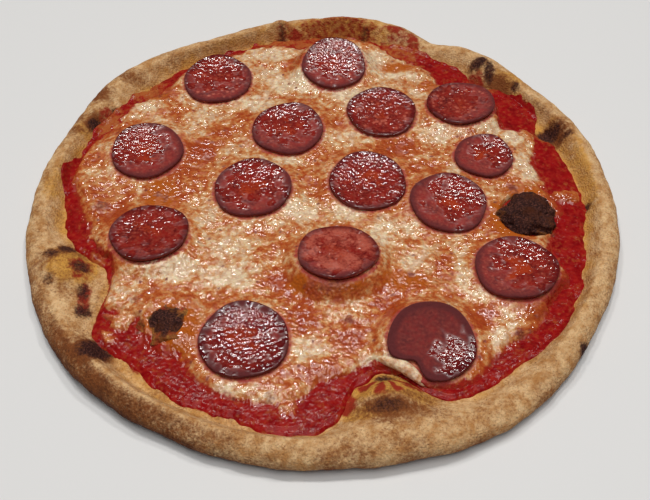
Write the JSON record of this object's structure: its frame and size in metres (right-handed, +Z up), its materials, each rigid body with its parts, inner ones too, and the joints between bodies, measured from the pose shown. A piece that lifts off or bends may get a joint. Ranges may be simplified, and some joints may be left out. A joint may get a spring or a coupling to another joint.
{
  "type": "whole pepperoni pizza",
  "caption": "Round thin-crust pizza with a raised baked rim, tomato sauce, melted cheese and slices of pepperoni.",
  "frame": {"origin": "centre of the flat underside, at the middle of the outline's bounding box", "axes": "+Z up through the toppings, +Y towards the far side as the pizza is served, +X to the eater's right"},
  "size_m": [0.317, 0.3204, 0.0208],
  "materials": {
    "baked_dough": "dry baked dough, tan with browned and charred spots",
    "tomato_sauce": "wet red tomato sauce",
    "melted_cheese": "oily melted cheese, cream to orange",
    "pepperoni": "oily dark red cured sausage"
  },
  "bodies": {
    "root": {"crust": "baked_dough", "sauce": "tomato_sauce", "cheese": "melted_cheese", "pepperoni_01": "pepperoni", "pepperoni_02": "pepperoni", "pepperoni_03": "pepperoni", "pepperoni_04": "pepperoni", "pepperoni_05": "pepperoni", "pepperoni_06": "pepperoni", "pepperoni_07": "pepperoni", "pepperoni_08": "pepperoni", "pepperoni_09": "pepperoni", "pepperoni_10": "pepperoni", "pepperoni_11": "pepperoni", "pepperoni_12": "pepperoni", "pepperoni_13": "pepperoni", "pepperoni_14": "pepperoni", "pepperoni_15": "pepperoni"}
  },
  "joints": []
}
